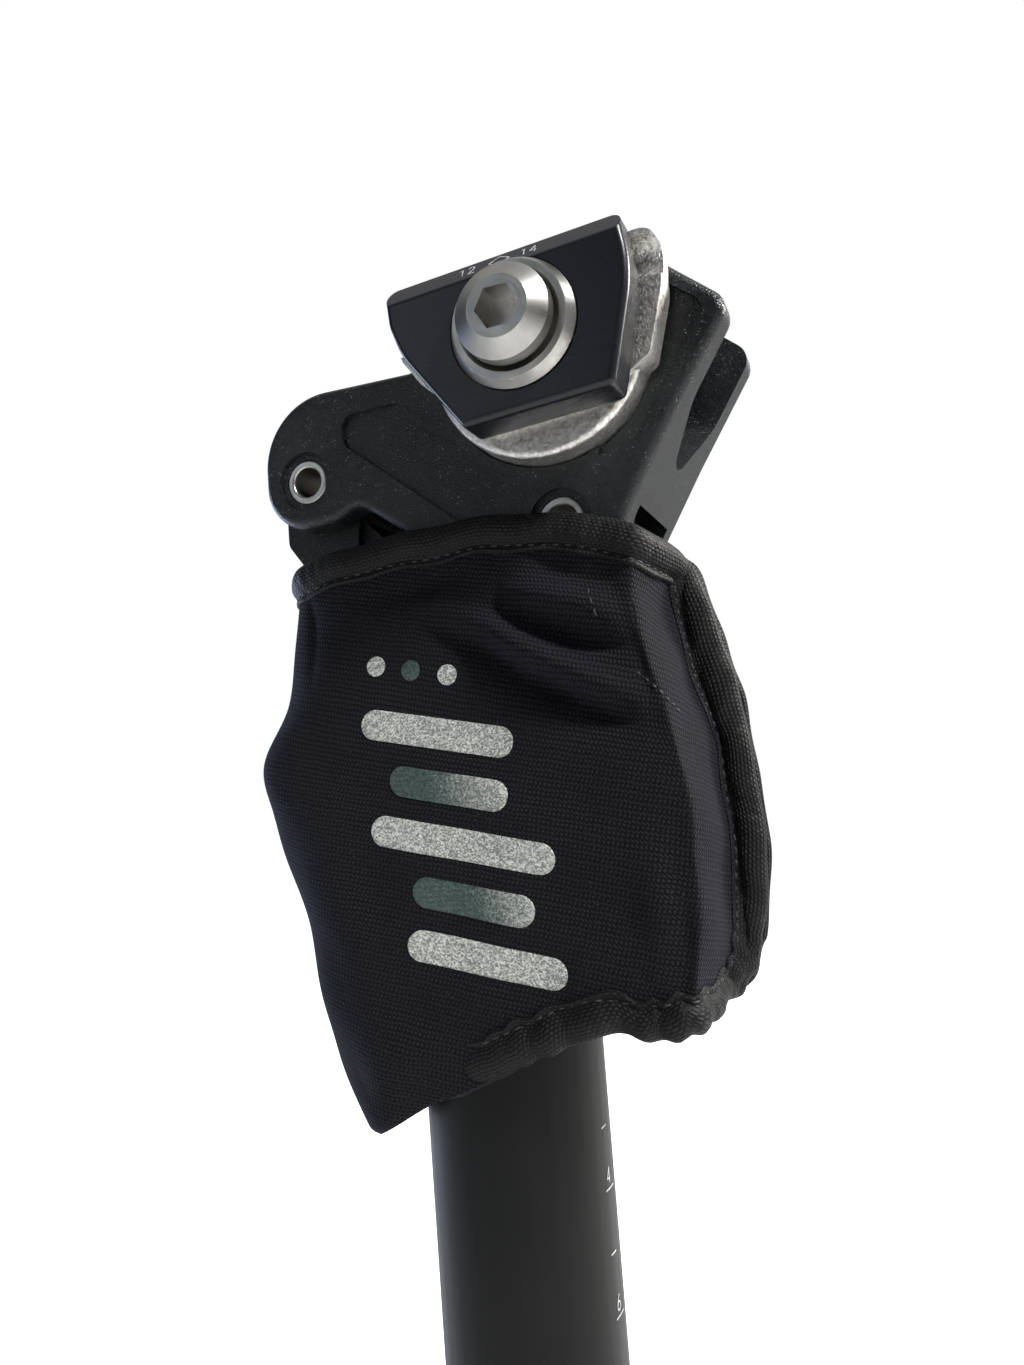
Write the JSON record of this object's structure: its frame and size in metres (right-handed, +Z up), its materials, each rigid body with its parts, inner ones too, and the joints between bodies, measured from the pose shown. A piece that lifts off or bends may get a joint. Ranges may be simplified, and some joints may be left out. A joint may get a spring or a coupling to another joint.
{
  "type": "suspension seatpost",
  "caption": "Parallelogram suspension seatpost: a round post, two sprung links in a wrap cover, and a two-rail saddle clamp.",
  "frame": {"origin": "centre of the post's lower end face", "axes": "+Z up along the post, +X towards the front of the bicycle, +Y to the rider's left"},
  "size_m": [0.0906, 0.0754, 0.3557],
  "materials": {
    "anodised_black": "satin black anodised",
    "forged_black": "bead-blasted black anodised forging",
    "jaw_black": "smooth black anodised",
    "cast_silver": "tumbled silver casting",
    "axle_steel": "turned",
    "turned_steel": "turned stainless",
    "screw_steel": "plain",
    "spring_steel": "black coated spring wire",
    "seat_plastic": "matt",
    "bush_plastic": "matt sliding plastic",
    "bumper_rubber": "matt",
    "knit": "ribbed knit",
    "woven_tape": "woven edge tape",
    "hook_loop": "hook and loop"
  },
  "bodies": {
    "post": {"seat_tube": "anodised_black", "lower_body": "forged_black", "top_out_bumper": "bumper_rubber", "front_lower_axle": "axle_steel", "rear_lower_axle": "axle_steel", "cover": "knit", "cover_edge_binding": "woven_tape", "cover_closure_strip": "hook_loop"},
    "front_link": {"front_link": "forged_black", "front_lower_bushes": "bush_plastic", "front_upper_bushes": "bush_plastic"},
    "rear_link": {"rear_link": "forged_black", "rear_lower_bushes": "bush_plastic", "rear_upper_bushes": "bush_plastic", "lower_spring_seat": "seat_plastic", "coil_spring": "spring_steel"},
    "spring_cap": {"upper_spring_cap": "seat_plastic"},
    "preload_screw": {"preload_screw": "screw_steel"},
    "head": {"upper_body": "forged_black", "front_upper_axle": "axle_steel", "rear_upper_axle": "axle_steel"},
    "cradle": {"inner_jaw_left": "cast_silver", "inner_jaw_right": "cast_silver", "cradle_sleeve": "axle_steel"},
    "clamp_left": {"outer_jaw_left": "jaw_black", "bolt_washer": "turned_steel"},
    "clamp_right": {"outer_jaw_right": "jaw_black", "nut_washer": "turned_steel", "clamp_nut": "turned_steel"},
    "clamp_bolt": {"clamp_bolt": "turned_steel"},
    "cover_hem": {"cover_top_hem": "woven_tape"}
  },
  "joints": [
    {"name": "front_link_swing", "type": "hinge", "parent": "post", "child": "front_link", "pos_m": [0.0275, 0, 0.2763], "axis": [0, -1, 0], "range_deg": [0, 46], "stiffness_Nm_per_rad": 30, "springref_deg": -17.19, "deforming": ["cover", "cover_edge_binding", "cover_top_hem", "cover_closure_strip"]},
    {"name": "rear_link_swing", "type": "hinge", "parent": "post", "child": "rear_link", "pos_m": [-0.019, 0, 0.2617], "axis": [0, -1, 0], "range_deg": [0, 46], "deforming": ["coil_spring"]},
    {"name": "head_level", "type": "hinge", "parent": "front_link", "child": "head", "pos_m": [0.0257, 0, 0.3294], "axis": [0, -1, 0], "range_deg": [-46, 0]},
    {"name": "spring_cap_slide", "type": "slide", "parent": "front_link", "child": "spring_cap", "axis": [-0.097, 0, -0.9953], "range_m": [0, 0.003]},
    {"name": "preload_turn", "type": "hinge", "parent": "spring_cap", "child": "preload_screw", "pos_m": [0.00903, 0, 0.30723], "axis": [-0.097, 0, -0.9953], "range_deg": [0, 1080.1]},
    {"name": "saddle_tilt", "type": "hinge", "parent": "head", "child": "cradle", "pos_m": [-0.0204, 0, 0.3418], "axis": [0, -1, 0], "range_deg": [-12, 12]},
    {"name": "clamp_left_slide", "type": "slide", "parent": "cradle", "child": "clamp_left", "axis": [0, 1, 0], "range_m": [0, 0.00313]},
    {"name": "clamp_right_slide", "type": "slide", "parent": "cradle", "child": "clamp_right", "axis": [0, -1, 0], "range_m": [0, 0.00313]},
    {"name": "clamp_bolt_turn", "type": "hinge", "parent": "clamp_left", "child": "clamp_bolt", "pos_m": [-0.0204, 0, 0.3418], "axis": [0, 1, 0], "range_deg": [0, 1800.1]},
    {"name": "cover_gather", "type": "slide", "parent": "post", "child": "cover_hem", "axis": [-0.9067, 0, -0.4217], "range_m": [0, 0.04152]}
  ],
  "couplings": [
    {"joint": "rear_link_swing", "follows": "front_link_swing", "ratio": 1},
    {"joint": "head_level", "follows": "front_link_swing", "ratio": -1},
    {"joint": "cover_gather", "follows": "front_link_swing", "m_per_rad": 0.051714},
    {"joint": "preload_turn", "follows": "spring_cap_slide", "rad_per_m": 6283.2},
    {"joint": "clamp_right_slide", "follows": "clamp_left_slide", "ratio": 1},
    {"joint": "clamp_bolt_turn", "follows": "clamp_left_slide", "rad_per_m": 10053}
  ]
}
